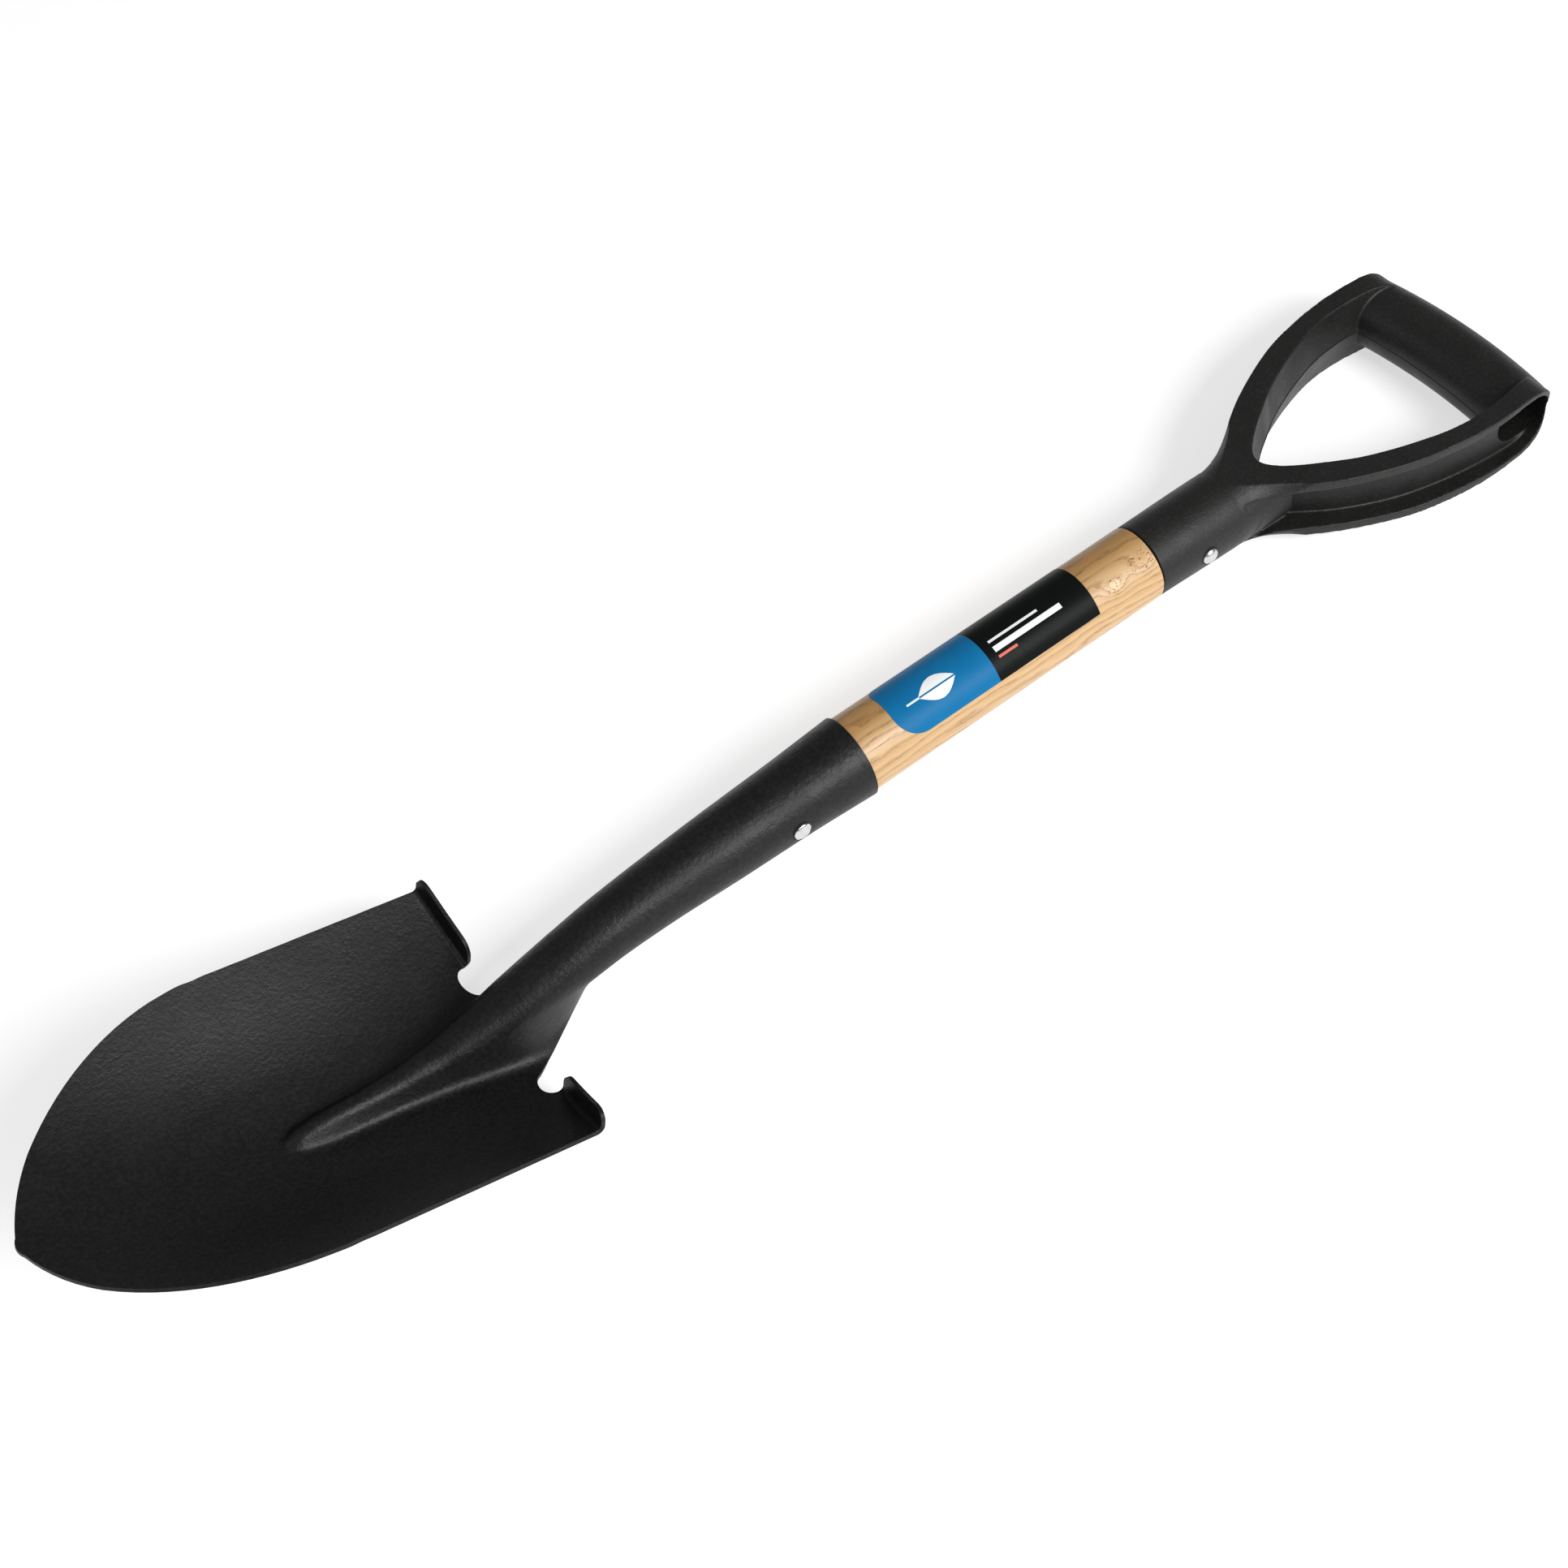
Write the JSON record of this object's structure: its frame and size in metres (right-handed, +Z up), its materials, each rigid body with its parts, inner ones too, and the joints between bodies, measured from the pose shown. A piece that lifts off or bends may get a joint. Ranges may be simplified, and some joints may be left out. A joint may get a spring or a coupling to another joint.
{
  "type": "round point shovel",
  "caption": "Short garden shovel with a pressed round point blade, an ash shaft and a moulded D-grip.",
  "frame": {"origin": "on the ground, under the middle of the box round the whole shovel as it lies on its back", "axes": "+X along the shovel from the tip of the blade to the crossbar, +Y across the blade, +Z up, out of the front of the blade"},
  "size_m": [0.6693, 0.1306, 0.0717],
  "materials": {
    "coated_steel": "satin black powder coat with a fine texture",
    "ash_wood": "pale ash with a thin satin varnish",
    "black_plastic": "matt black moulded polypropylene, fine texture",
    "bright_steel": "bright zinc-plated steel",
    "printed_film": "printed film, blue and near-black, satin"
  },
  "bodies": {
    "root": {"head": "coated_steel", "shaft": "ash_wood", "d_grip": "black_plastic", "socket_rivet": "bright_steel", "grip_rivet": "bright_steel", "label": "printed_film"}
  },
  "joints": []
}
